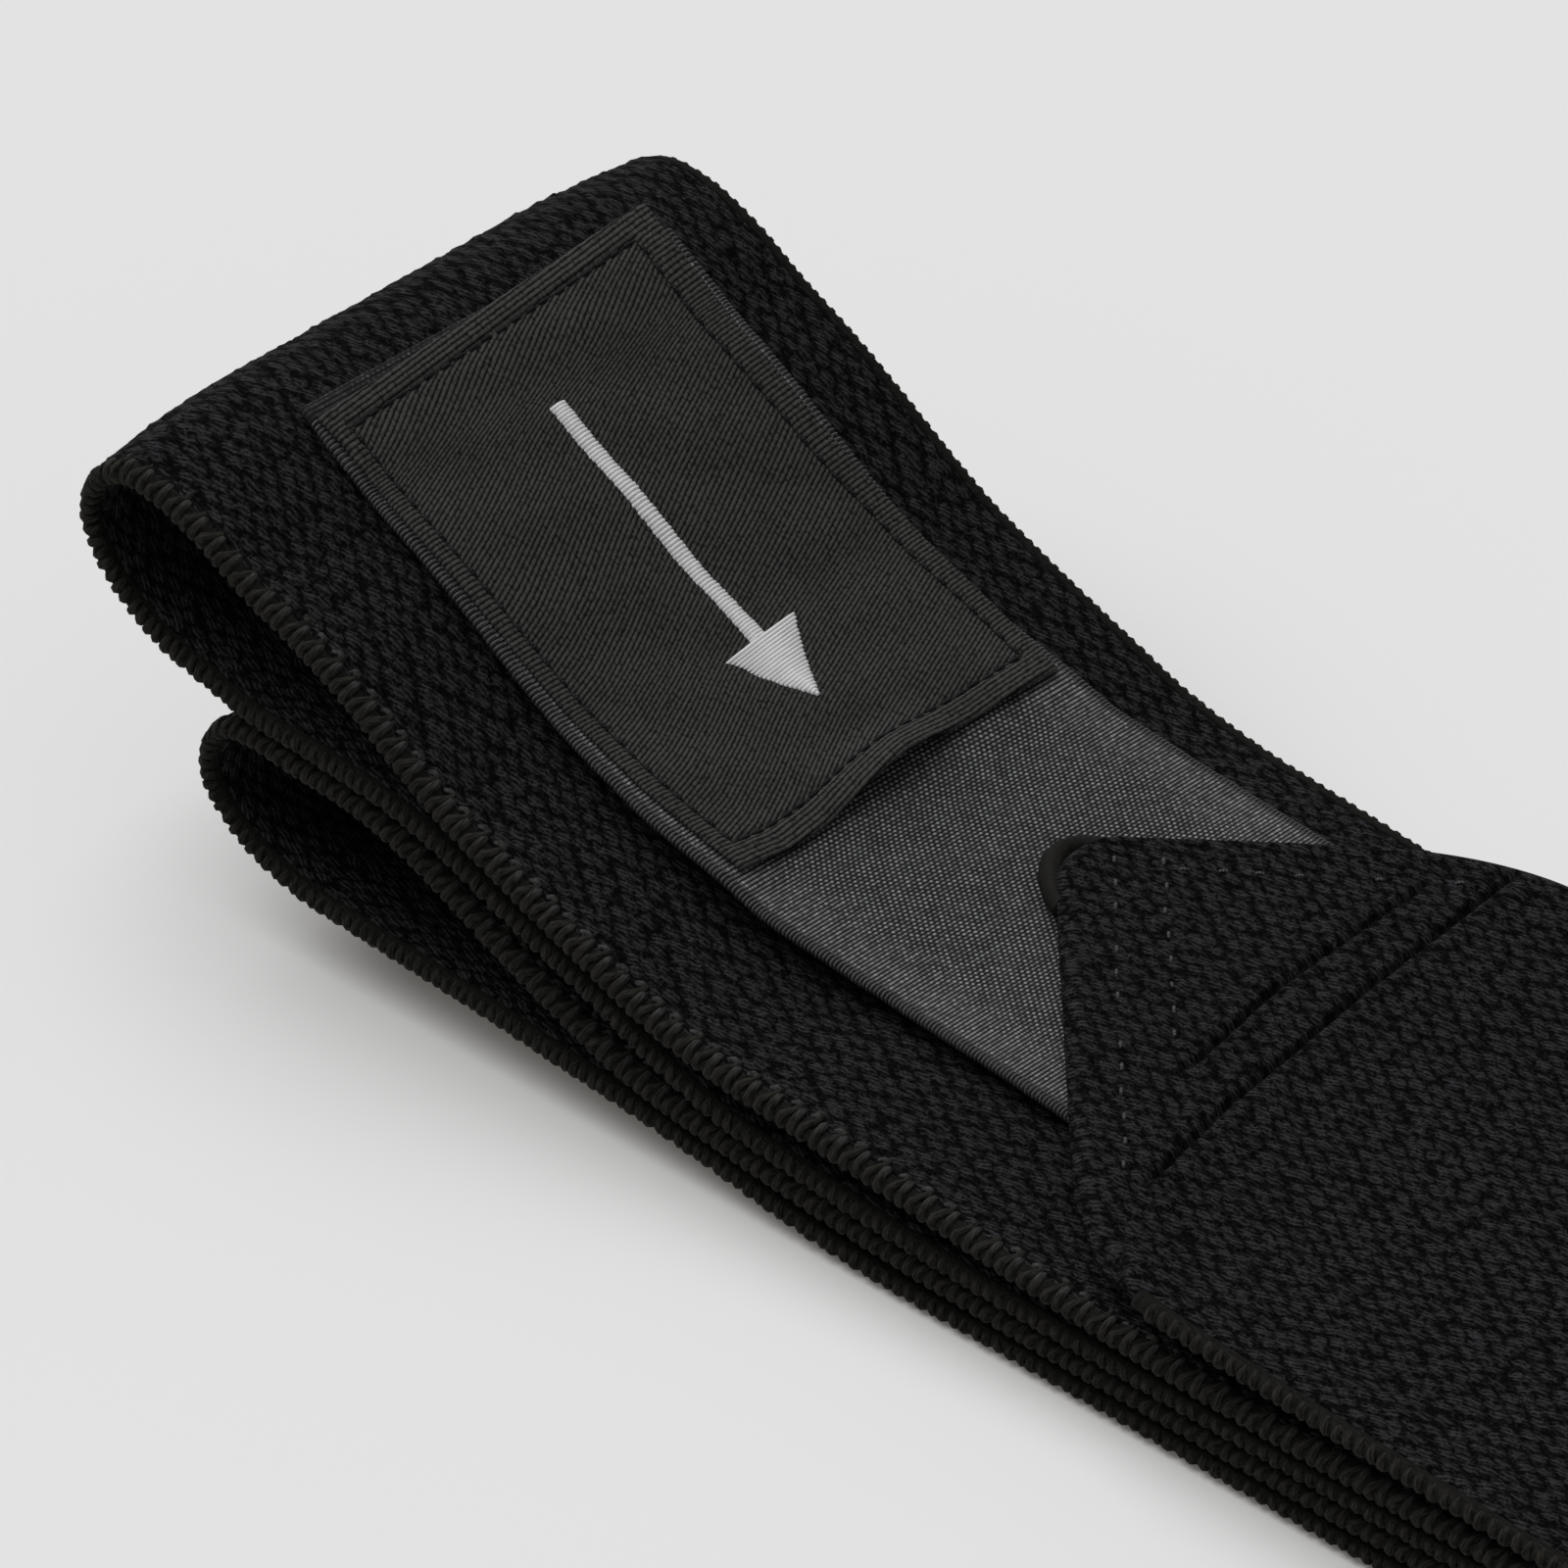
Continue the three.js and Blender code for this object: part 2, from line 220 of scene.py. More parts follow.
def band_knots():
    """Middle line of the band from its free end on the floor to its point, and the name of each stretch."""
    stretches = [
        ("floor", [(FREE_END_X, HALF_KNIT)] + layer_knots(FLOOR)[::-1]),
        ("lower loop", LOWER_LOOP),
        ("fourth", layer_knots(FOURTH)),
        ("fold", fold_knots(FOURTH, THIRD)),
        ("third", layer_knots(THIRD)[::-1]),
        ("upper loop", UPPER_LOOP),
        ("second", layer_knots(SECOND)),
        ("fold", fold_knots(SECOND, TOP)),
        ("top", layer_knots(TOP)[::-1]),
        ("tip", [(TIP_X, 21.2)]),
    ]
    knots = [knot for _, rows in stretches for knot in rows]
    names = [name for name, rows in stretches for _ in rows]
    return np.array(knots), names


KNOTS, NAMES = band_knots()


def spline(knots):
    """Centripetal spline through the knots: its points and unit tangents, PARTS to a knot."""
    chain = np.vstack([2 * knots[0] - knots[1], knots, 2 * knots[-1] - knots[-2]])
    gaps = np.linalg.norm(np.diff(chain, axis=0), axis=1) ** 0.5
    t = (np.arange(PARTS) / PARTS)[:, None]
    points, slopes = [], []
    for row in range(len(knots) - 1):
        a, b, c, d = chain[row:row + 4]
        da, db, dc = gaps[row:row + 3]
        m = ((b - a) / da - (c - a) / (da + db) + (c - b) / db) * db
        n = ((c - b) / db - (d - b) / (db + dc) + (d - c) / dc) * db
        points.append((2 * t**3 - 3 * t**2 + 1) * b + (t**3 - 2 * t**2 + t) * m
                      + (3 * t**2 - 2 * t**3) * c + (t**3 - t**2) * n)
        slopes.append((6 * t**2 - 6 * t) * (b - c) + (3 * t**2 - 4 * t + 1) * m + (3 * t**2 - 2 * t) * n)
    points = np.vstack([*points, knots[-1:]])
    slopes = np.vstack([*slopes, slopes[-1][-1:]])
    return points, slopes / np.linalg.norm(slopes, axis=1)[:, None]


PATH, ALONG = spline(KNOTS)
COUNTS = np.arange(len(PATH)) / PARTS
LENGTHS = travelled(PATH)
BAND_LENGTH = LENGTHS[-1]
LOOP_NOSE = next(i for i, n in enumerate(NAMES) if n == "upper loop" and KNOTS[i][1] > 40)
SECOND_END = next(i for i, n in enumerate(NAMES) if n == "second" and KNOTS[i][0] > 185)
TOP_START = next(i for i, n in enumerate(NAMES) if n == "top" and KNOTS[i][0] < 231)


def stretch_length(name, x):
    """Length along the band where a stretch passes x."""
    own = [i for i, n in enumerate(NAMES) if n == name]
    picks = slice(max(own[0] - 3, 0) * PARTS, min(own[-1] + 1, len(KNOTS) - 1) * PARTS + 1)
    xs, lengths = PATH[picks, 0], LENGTHS[picks]
    order = np.argsort(xs)
    return np.interp(x, xs[order], lengths[order])


class Places:
    """Places along the middle line: position, tangent, normal, swell and whether they lean."""

    def __init__(self, lengths):
        self.s = np.atleast_1d(np.asarray(lengths, float))
        self.count = np.interp(self.s, LENGTHS, COUNTS)
        self.x = np.interp(self.s, LENGTHS, PATH[:, 0])
        self.z = np.interp(self.s, LENGTHS, PATH[:, 1])
        tx = np.interp(self.s, LENGTHS, ALONG[:, 0])
        tz = np.interp(self.s, LENGTHS, ALONG[:, 1])
        size = np.hypot(tx, tz)
        self.tx, self.tz = tx / size, tz / size
        self.nx, self.nz = -self.tz, self.tx
        inside = (self.count > LOOP_NOSE - 1) & (self.count < SECOND_END)
        self.swell = look(SWELL, self.x) * np.clip(self.count - LOOP_NOSE + 1, 0, 1) * inside
        self.leans = self.count > TOP_START

    def beside(self, y, out, leans=None):
        """Points at y across the band and out along the normal, with one value or one row for each place."""
        y, out = np.broadcast_arrays(np.asarray(y, float), np.asarray(out, float))
        shape = (-1,) + (1,) * (y.ndim - 1)
        x, z, nx, nz, swell = (v.reshape(shape) for v in (self.x, self.z, self.nx, self.nz, self.swell))
        leans = (self.leans if leans is None else leans).reshape(shape)
        out = out + swell * look(SWELL_SHARE, y)
        rise = np.where(leans, lean(x, y), 0)
        return np.stack([x + nx * out, y + 0 * x, z + nz * out + rise], -1)

    def axes(self, side):
        """Unit vectors along the band, inward from one side, and out along the normal."""
        zero = np.zeros(len(self.s))
        along = np.stack([self.tx, zero, self.tz], -1)
        inward = np.stack([zero, zero - side, zero], -1)
        return along, inward, np.stack([self.nx, zero, self.nz], -1)


def lean(x, y):
    share = np.clip((x - 60) / 40, 0, 1) * np.clip((230 - x) / 80, 0, 1)
    return TIP_LEAN * share * y / (2 * HALF_WIDTH)


def soft_min(a, b, width):
    share = np.clip(0.5 + 0.5 * (b - a) / width, 0, 1)
    return b + (a - b) * share - width * share * (1 - share)


def tip_width(x, limit):
    """Half width of the pointed end from its own middle line."""
    depth = np.maximum(x - TIP_X, 0)
    turn = TIP_ROUND * (1 - math.sqrt(0.5))
    arc = np.sqrt(np.maximum(2 * TIP_ROUND * depth - depth**2, 0))
    straight = TIP_ROUND * math.sqrt(0.5) + depth - turn
    return np.maximum(soft_min(np.where(depth < turn, arc, straight), limit, CORNER_ROUND), 0.3)


def tip_sides(x):
    def limit(start):
        return HALF_WIDTH + (KNIT_SIDE - HALF_WIDTH) * ramp(x, start - 2, start + 1)
    front = TIP_Y - tip_width(x, limit(FRONT_EDGE_START) + TIP_Y)
    back = TIP_Y + tip_width(x, limit(BACK_EDGE_START) - TIP_Y)
    return front, back


def knit_length():
    """Length along the band for its knit, turned back under the top layer so that both faces look alike."""
    turn = 1 - 2 * ramp(LENGTHS, *stretch_length("second", np.array([200, 300])))
    return running(np.diff(LENGTHS) * turn[1:])


KNIT_LENGTHS = knit_length()


def seam_lines(x, y):
    """Offset from each of the two sewn lines across the pointed end, and how much of the line is there."""
    for seam in (SEAM_FAR, SEAM_NEAR):
        off = x - np.interp(y, seam[:, 0], seam[:, 1])
        there = ramp(y, seam[0, 0] - 4, seam[0, 0] + 1) * (1 - ramp(y, seam[-1, 0] - 1, seam[-1, 0] + 4))
        yield off, there


def seam_dip(x, y):
    """Depth of the sewn lines, with the puff of cloth beside them."""
    dip = 0
    for off, there in seam_lines(x, y):
        groove = 0.75 * np.exp(-(off / 0.3) ** 2)
        puff = 0.25 * np.exp(-((np.abs(off) - 1.7) / 1.1) ** 2)
        dip = dip + there * (groove - puff)
    return dip


def seam_painted_shade(x, y):
    """Painted shade at the bottom of the sewn lines' grooves: how much darker the knit is painted there."""
    patch = 0.75 + 0.25 * np.sin(2.3 * y + np.sin(0.9 * y))
    return sum(there * patch * np.exp(-(off / 0.33) ** 2) for off, there in seam_lines(x, y))


def relief(s, y, rng):
    """Small uneven relief of the knit."""
    p = s / 2.6 + 0.35 * np.sin(0.9 * s + 1.3 * y) + 0.3 * np.sin(2.1 * y - 0.7 * s)
    q = y / 1.8 + 0.35 * np.sin(1.1 * y + 0.6 * s + 2)
    return 0.14 * np.sin(2 * math.pi * p) * np.sin(2 * math.pi * q) + rng.normal(0, 0.045, s.shape)


def on_layer(name, x, y, out):
    """Points out from the middle of a layer."""
    x, y, out = np.broadcast_arrays(x, y, out)
    place = Places(stretch_length(name, x.ravel()))
    points = place.beside(y.ravel(), out.ravel(), np.ones(x.size, bool))
    return points.reshape(x.shape + (3,))


def on_second(x, y, above):
    """Points above the second layer's upper face."""
    return on_layer("second", x, y, HALF_KNIT + above)


def on_top(x, y, above):
    """Points above the pointed end's upper face."""
    return on_layer("top", x, y, seam_dip(x, y) - HALF_KNIT - above)


# Mesh tools


class Solid:
    """Points, faces and flat coordinates of a mesh that is still being put together."""

    def __init__(self, points, loops, totals, flat):
        self.points = np.asarray(points, float).reshape(-1, 3)
        self.loops = np.asarray(loops, int).ravel()
        self.totals = np.asarray(totals, int).ravel()
        self.flat = np.asarray(flat, float).reshape(-1, 2)


def join(solids):
    starts = np.cumsum([0] + [len(s.points) for s in solids])
    return Solid(
        np.vstack([s.points for s in solids]),
        np.concatenate([s.loops + at for s, at in zip(solids, starts)]),
        np.concatenate([s.totals for s in solids]),
        np.vstack([s.flat for s in solids]),
    )


def loft(rings, flat):
    """Closed skin through rings of equal count, with the first and last ring filled."""
    rows, size = rings.shape[:2]
    at = np.arange(rows * size).reshape(rows, size)
    a, b = at[:-1], at[1:]
    quads = np.stack([a, np.roll(a, -1, 1), np.roll(b, -1, 1), b], -1).reshape(-1)
    loops = np.concatenate([quads, at[0][::-1], at[-1]])
    totals = [4] * ((rows - 1) * size) + [size, size]
    return Solid(rings, loops, totals, flat)


def copies(base, origin, axis_a, axis_b, axis_c, shift):
    """Copies of a small solid, each set into its own three axes, with its flat coordinates shifted."""
    count, size = len(origin), len(base.points)
    p = base.points
    points = (origin[:, None] + p[None, :, :1] * axis_a[:, None] + p[None, :, 1:2] * axis_b[:, None]
              + p[None, :, 2:] * axis_c[:, None])
    loops = base.loops[None] + (np.arange(count) * size)[:, None]
    flat = base.flat[None] + shift[:, None]
    return Solid(points, loops, np.tile(base.totals, count), flat)


def make_piece(name, solid, finish):
    """Smooth-shaded object at the origin from a solid in the tables' frame."""
    mesh = bpy.data.meshes.new(name)
    mesh.vertices.add(len(solid.points))
    mesh.vertices.foreach_set("co", placed(solid.points).astype(np.float32).ravel())
    mesh.loops.add(len(solid.loops))
    mesh.loops.foreach_set("vertex_index", solid.loops.astype(np.int32))
    mesh.polygons.add(len(solid.totals))
    starts = np.concatenate([[0], np.cumsum(solid.totals)[:-1]])
    mesh.polygons.foreach_set("loop_start", starts.astype(np.int32))
    mesh.polygons.foreach_set("loop_total", solid.totals.astype(np.int32))
    layer = mesh.uv_layers.new(name="flat")
    layer.data.foreach_set("uv", solid.flat[solid.loops].astype(np.float32).ravel())
    mesh.update()
    mesh.validate()
    piece = bpy.data.objects.new(name, mesh)
    bpy.context.scene.collection.objects.link(piece)
    bpy.ops.object.select_all(action="DESELECT")
    piece.select_set(True)
    bpy.context.view_layer.objects.active = piece
    bpy.ops.object.mode_set(mode="EDIT")
    bpy.ops.mesh.select_all(action="SELECT")
    bpy.ops.mesh.normals_make_consistent(inside=False)
    bpy.ops.object.mode_set(mode="OBJECT")
    bpy.ops.object.shade_smooth()
    mesh.materials.append(finish)
    return piece


def thread_along(route, flatness):
    """Soft thread through route rows of three coordinates and a radius, flattened along its third axis."""
    bpy.ops.object.select_all(action="DESELECT")
    bpy.ops.curve.primitive_nurbs_path_add()
    piece = bpy.context.object
    line = piece.data.splines[0]
    line.type = "POLY"
    line.points.add(len(route) - len(line.points))
    for point, row in zip(line.points, route):
        point.co = (row[0], row[1], row[2] / flatness, 1)
        point.radius = row[3]
    piece.data.bevel_depth = 1.0
    piece.data.bevel_resolution = 1
    piece.data.use_fill_caps = True
    piece.data.resolution_u = 1
    bpy.ops.object.convert(target="MESH")
    piece = bpy.context.object
    bpy.ops.object.mode_set(mode="EDIT")
    bpy.ops.mesh.select_all(action="SELECT")
    bpy.ops.mesh.remove_doubles(threshold=0.001)
    bpy.ops.transform.resize(value=(1, 1, flatness), center_override=(0, 0, 0))
    bpy.ops.object.mode_set(mode="OBJECT")
    mesh = piece.data
    points = np.array([v.co for v in mesh.vertices], float)
    loops = [i for face in mesh.polygons for i in face.vertices]
    totals = [len(face.vertices) for face in mesh.polygons]
    bpy.data.objects.remove(piece)
    line = np.array([row[:3] for row in route])
    near = np.argmin(((points[:, None] - line[None]) ** 2).sum(-1), axis=1)
    side = points - line[near]
    return Solid(points, loops, totals, np.stack([travelled(line)[near], side[:, 0]], -1) / 1000)


# Finishes


class Shade:
    """Value in a node tree that adds Math nodes when it is used in an expression."""

    def __init__(self, finish, socket):
        self.finish = finish
        self.socket = socket

    def __add__(self, other):
        return self.finish.maths("ADD", self, other)

    def __radd__(self, other):
        return self.finish.maths("ADD", other, self)

    def __sub__(self, other):
        return self.finish.maths("SUBTRACT", self, other)

    def __rsub__(self, other):
        return self.finish.maths("SUBTRACT", other, self)

    def __mul__(self, other):
        return self.finish.maths("MULTIPLY", self, other)

    def __rmul__(self, other):
        return self.finish.maths("MULTIPLY", other, self)

    def __truediv__(self, other):
        return self.finish.maths("DIVIDE", self, other)

    def __pow__(self, other):
        return self.finish.maths("POWER", self, other)

    def __abs__(self):
        return self.finish.maths("ABSOLUTE", self)

    def fraction(self):
        return self.finish.maths("FRACT", self)

    def floor(self):
        return self.finish.maths("FLOOR", self)

    def sine(self):
        return self.finish.maths("SINE", self)

    def least(self, other):
        return self.finish.maths("MINIMUM", self, other)

    def step(self, low, high):
        """Smooth step from 0 at low to 1 at high."""
        settings = {"interpolation_type": "SMOOTHSTEP"}
        inputs = {"Value": self, "From Min": low, "From Max": high}
        return self.finish.node("MapRange", settings, inputs, "Result")


class Finish:
    """Procedural material: its shader, and the one method that adds nodes to it."""

    def __init__(self, name, constants):
        self.material = bpy.data.materials.new(name)
        self.material.use_nodes = True
        self.tree = self.material.node_tree
        self.shader = self.tree.nodes["Principled BSDF"]
        for socket, value in constants.items():
            self.shader.inputs[socket].default_value = value

    def feed(self, socket, value):
        if isinstance(value, Shade):
            self.tree.links.new(value.socket, socket)
        else:
            socket.default_value = value

    def node(self, kind, settings, inputs, output):
        """Node of a kind with its settings and inputs. Gives the named output, or each of several."""
        made = self.tree.nodes.new("ShaderNode" + kind)
        for key, value in settings.items():
            setattr(made, key, value)
        for key, value in inputs.items():
            self.feed(made.inputs[key], value)
        if isinstance(output, tuple):
            return tuple(Shade(self, made.outputs[key]) for key in output)
        return Shade(self, made.outputs[output])

    def maths(self, operation, *values):
        return self.node("Math", {"operation": operation}, dict(enumerate(values)), "Value")

    def flat(self):
        """Flat coordinates of the cloth in millimetres, along and across."""
        vector = self.node("UVMap", {"uv_map": "flat"}, {}, "UV")
        along, across = self.node("SeparateXYZ", {}, {"Vector": vector}, ("X", "Y"))
        return along * 1000, across * 1000

    def vector(self, x, y, z=0.0):
        return self.node("CombineXYZ", {}, {"X": x, "Y": y, "Z": z}, "Vector")

    def noise(self, vector, scale, detail):
        inputs = {"Vector": vector, "Scale": scale, "Detail": detail}
        return self.node("TexNoise", {"noise_dimensions": "3D"}, inputs, "Fac")

    def chance(self, vector):
        return self.node("TexWhiteNoise", {"noise_dimensions": "3D"}, {"Vector": vector}, "Value")

    def cells(self, vector, uneven):
        """Distance to the nearest of scattered points, and a chance value of that point."""
        inputs = {"Vector": vector, "Scale": 1.0, "Randomness": uneven}
        outputs = ("Distance", "Color")
        distance, tint = self.node("TexVoronoi", {"voronoi_dimensions": "2D"}, inputs, outputs)
        return distance, self.node("SeparateColor", {}, {"Color": tint}, "Red")

    def blend(self, share, dark, light):
        return self.node("Mix", {"data_type": "RGBA"}, {0: share, 6: dark, 7: light}, 2)

    def done(self, colour, rough, height, depth):
        """Links the colour, the roughness and a height of depth millimetres, and gives the material."""
        bump = self.node("Bump", {}, {"Height": height, "Distance": depth / 1000, "Strength": 1.0}, "Normal")
        self.feed(self.shader.inputs["Base Color"], colour)
        self.feed(self.shader.inputs["Roughness"], rough)
        self.feed(self.shader.inputs["Normal"], bump)
        return self.material


def colour(r, g, b):
    return (r, g, b, 1.0)


def knit_finish():
    """Elastic knit: bumps of short bent strands where two slanted sets of rows cross, and holes, coloured by
    height as painted shade in the holes and painted highlight on the strands.
    """
    finish = Finish("knit", {"Specular IOR Level": 0.06, "Roughness": 0.9})
    along, across = finish.flat()
    wave = finish.noise(finish.vector(along * 0.7, across * 0.8), 1.0, 1.0) - 0.5
    wander = finish.noise(finish.vector(along * 0.6 + 71, across * 0.7 + 13), 1.0, 1.0) - 0.5
    p = along + wander * 0.9
    q = across + wave * 0.8
    row = (p * 0.50 + q * 0.866) / 1.64
    column = (p * 0.515 - q * 0.857) / 1.66
    distance, chance = finish.cells(finish.vector(row, column), 0.44)
    slant = p * (chance * 0.5 + 0.05) - q * 0.92
    strands = ((slant / 0.54 + wave * 2.0) * (math.pi * 2)).sine() * 0.5 + 0.5
    fuzz = finish.noise(finish.vector(p * 1.6 + 5, q * 2.4), 1.0, 2.0)
    body = 1 - distance.step(0.12, 0.68)
    fibre = finish.noise(finish.vector(p * 1.9 + 9, q * 3.8), 1.0, 3.0)
    height = body * (strands * 0.42 + 0.30) + strands * 0.08 + (fuzz - 0.5) * 0.9 + (fibre - 0.5) * 1.3
    # seam: painted shade in the seam grooves, read from the band's point attribute
    seam = finish.node("Attribute", {"attribute_name": "seam"}, {}, "Fac")
    # painted shade and highlight: colour follows the bump height, dark in the holes and hollows, light on
    # the raised strands, with random tone per cell
    light = height.step(-0.05, 0.92) * (chance * 0.3 + 0.85) * (1 - seam * 0.75)
    shade = finish.blend(light, colour(0.0010, 0.0010, 0.0013), colour(0.0415, 0.0415, 0.0447))
    return finish.done(shade, 0.95 - light * 0.1, height, 0.3)


def overlock_finish():
    """Overlock thread: warm black, of fine twisted fibres, with a painted highlight in grey at the inner end
    of each loop, and painted shade on the edge core between the loops.
    """
    finish = Finish("edge_thread", {"Specular IOR Level": 0.08})
    along, across = finish.flat()
    fibres = finish.noise(finish.vector(along * 0.9 + across * 1.6, across * 6.0 - along * 1.1), 1.0, 3.0)
    light = fibres.step(0.3, 0.7)
    warm = finish.blend(light, colour(0.0065, 0.0063, 0.0052), colour(0.0320, 0.0306, 0.0258))
    # painted highlight: the grey that the first 0.6 to 1.7 mm of each loop, at the top of its hook, is
    # blended to
    grey = finish.blend(light, colour(0.0170, 0.0170, 0.0168), colour(0.0640, 0.0640, 0.0630))
    place = (along / LOOP_SHIFT).fraction() * LOOP_SHIFT
    inner = (1 - place.step(0.6, 1.7)) * across.step(300, 301)
    # painted shade: the edge core under and between the loops is blended most of the way to near black
    core = 1 - across.step(300, 301)
    shade = finish.blend(core * 0.6, finish.blend(inner, warm, grey), colour(0.0040, 0.0040, 0.0035))
    return finish.done(shade, 0.88 - light * 0.1, fibres, 0.2)


def tape_finish():
    """Grey tape: fine weave of ribs across it with bright specks, and brighter bars along its selvedges."""
    finish = Finish("tape", {"Specular IOR Level": 0.15})
    along, across = finish.flat()
    x = along / TAPE_RIB
    y = across / 0.36
    row = x.floor()
    column = y.floor()
    odd = ((row + column) * 0.5).fraction() * 2
    round_x = 1 - abs(x.fraction() * 2 - 1) ** 2.0
    round_y = 1 - abs(y.fraction() * 2 - 1) ** 2.0
    over = round_x * (round_y * 0.3 + 0.7)
    under = round_x * (round_y * 0.5 + 0.1)
    edge = abs(across).step(TAB_HALF - 1.2, TAB_HALF - 0.7)
    plain = abs(across).step(TAB_HALF - 10.0, TAB_HALF - 2.0)
    height = over + (under - over) * odd * (1 - plain * 0.8)
    cell = finish.chance(finish.vector(row, column))
    grain = finish.noise(finish.vector(along * 0.5, across * 0.5), 1.0, 2.0)
    speck = cell.step(0.9, 0.97) * 0.6
    raw = along.step(TAB_ENDS[0] + 1.5, TAB_ENDS[0] + 4.0)
    bright = (cell * 0.7 + 0.5 + speck) * (1 - edge * 0.8) * (1 - plain * 0.2) * (raw * 0.85 + 0.15)
    weave = height.step(0.32, 0.95) * bright + (grain - 0.5) * 0.15
    rung = across.step(300, 301)
    light = weave + (grain * 0.3 + 0.24 - weave) * rung
    shade = finish.blend(light, colour(0.0060, 0.0060, 0.0065), colour(0.300, 0.302, 0.311))
    return finish.done(shade, 0.8 - cell * 0.2, height * (1 - rung), 0.12)


def twill_finish():
    """Black label twill: fine slanted ribs of short floats, turned the other way on the folded hems."""
    finish = Finish("twill", {"Specular IOR Level": 0.1})
    along, across = finish.flat()
    far = along - HEM_FAR
    near = LABEL_LENGTH - HEM_NEAR - along
    front = across + (LABEL_HALF - HEM_FRONT)
    back = LABEL_HALF - HEM_BACK[0] + along * ((HEM_BACK[0] - HEM_BACK[1]) / LABEL_LENGTH) - across
    hem = 1 - far.least(near).least(front.least(back)).step(-0.1, 0.1)
    slant = across * (0.36 - hem * 0.32)
    rib = (along * 0.93 + slant) / 0.48
    shape = 1 - abs(rib.fraction() * 2 - 1) ** 2.0
    floats = finish.noise(finish.vector(rib.floor() * 3.7, across * 2.4), 1.0, 1.0)
    grain = finish.noise(finish.vector(along * 2.6, across * 2.6), 1.0, 3.0)
    cloud = finish.noise(finish.vector(along * 0.12, across * 0.12), 1.0, 1.0)
    height = shape * (floats * 1.3 + 0.2) + (grain - 0.5) * 1.0
    light = height.step(0.1, 1.0) * (cloud * 0.4 + 0.8)
    cloth = finish.blend(light, colour(0.0025, 0.0025, 0.0023), colour(0.0660, 0.0655, 0.0630))
    mark = across.step(300, 301)
    white = finish.blend(grain, colour(0.65, 0.65, 0.65), colour(0.95, 0.95, 0.95))
    shade = finish.blend(mark, cloth, white)
    return finish.done(shade, 0.85 - light * 0.1, height * (1 - mark), 0.1)


def thread_finish(name, dark, light):
    """Sewing thread of two twisted plies."""
    finish = Finish(name, {"Specular IOR Level": 0.2})
    along, across = finish.flat()
    twist = ((along * 1.6 + across * 3.2) * (math.pi * 2 / 0.7)).sine() * 0.5 + 0.5
    shade = finish.blend(twist, dark, light)
    return finish.done(shade, 0.75 - twist * 0.1, twist, 0.05)


def floor_finish():
    """Pale studio floor with a little glow of its own, as under a bright sweep."""
    glow = {"Emission Color": colour(0.068, 0.062, 0.055), "Emission Strength": 1.0}
    finish = Finish("pale_floor", {"Specular IOR Level": 0.0, **glow})
    place = finish.node("TexCoord", {}, {}, "Object")
    cloud = finish.noise(place, 3.0, 2.0)
    shade = finish.blend(cloud, colour(0.858, 0.865, 0.872), colour(0.862, 0.869, 0.876))
    return finish.done(shade, 0.95 + cloud * 0.05, cloud, 0.01)


# Pieces


def band_rows():
    """Lengths of the band's rings, and the face of each that is finely modelled because it shows."""
    loop = LENGTHS[(NAMES.index("upper loop") + 2) * PARTS]
    marks = [
        (0.0, 6.0, PLAIN),
        (stretch_length("floor", 130), 2.5, PLAIN),
        (stretch_length("floor", 30), 1.0, PLAIN),
        (stretch_length("fourth", 30), 2.5, PLAIN),
        (stretch_length("fourth", 130), 6.0, PLAIN),
        (stretch_length("fourth", 415), 1.0, PLAIN),
        (stretch_length("third", 415), 6.0, PLAIN),
        (stretch_length("third", 130), 2.5, PLAIN),
        (stretch_length("third", 30), 1.0, PLAIN),
        (loop, 0.7, OUTSIDE),
        (stretch_length("second", 150), 6.0, PLAIN),
        (stretch_length("second", 415), 1.0, PLAIN),
        (stretch_length("top", 415), 2.5, PLAIN),
        (stretch_length("top", 240), 1.2, PLAIN),
        (stretch_length("top", 200), 0.7, POINT),
        (stretch_length("top", 139), 0.33, POINT),
        (stretch_length("top", 119), 0.6, POINT),
        (stretch_length("top", TIP_X + 2.4), 0.2, POINT),
        (BAND_LENGTH - 0.05, 0.1, POINT),
    ]
    lengths, faces = [], []
    for (low, step, face), (high, _, _) in zip(marks, marks[1:]):
        count = max(int(math.ceil((high - low) / step)), 1)
        lengths.append(np.linspace(low, high, count, endpoint=False))
        faces.append(np.full(count, face))
    return np.append(np.concatenate(lengths), marks[-1][0]), np.append(np.concatenate(faces), POINT)


def skin(rings, flat, shade, picks):
    """Closed skin through rings that each keep their own picks of points. Returns it and the kept shade."""
    starts = np.cumsum([0] + [len(pick) for pick in picks])
    loops, totals = [], []
    for row, (a, b) in enumerate(zip(picks, picks[1:])):
        at_a, at_b = starts[row] + np.arange(len(a)), starts[row + 1] + np.arange(len(b))
        if len(a) == len(b):
            quads = np.stack([at_a, np.roll(at_a, -1), np.roll(at_b, -1), at_b], -1)
            loops.append(quads.ravel())
            totals.append(np.full(len(a), 4))
            continue
        few, many, at_few, at_many = (a, b, at_a, at_b) if len(a) < len(b) else (b, a, at_b, at_a)
        bounds = np.append(np.searchsorted(many, few), len(many))
        for k in range(len(few)):
            run = at_many[np.arange(bounds[k], bounds[k + 1] + 1) % len(many)]
            ends = at_few[[k, (k + 1) % len(few)]]
            face = [*ends, *run[::-1]] if few is a else [*run, *ends[::-1]]
            loops.append(np.array(face))
            totals.append([len(face)])
    last = starts[-2] + np.arange(len(picks[-1]))
    loops += [np.arange(len(picks[0]))[::-1], last]
    totals += [[len(picks[0])], [len(last)]]
    points = np.concatenate([ring[pick] for ring, pick in zip(rings, picks)])
    places = np.concatenate([row[pick] for row, pick in zip(flat, picks)])
    kept = np.concatenate([row[pick] for row, pick in zip(shade, picks)])
    return Solid(points, np.concatenate(loops), np.concatenate(totals), places), kept


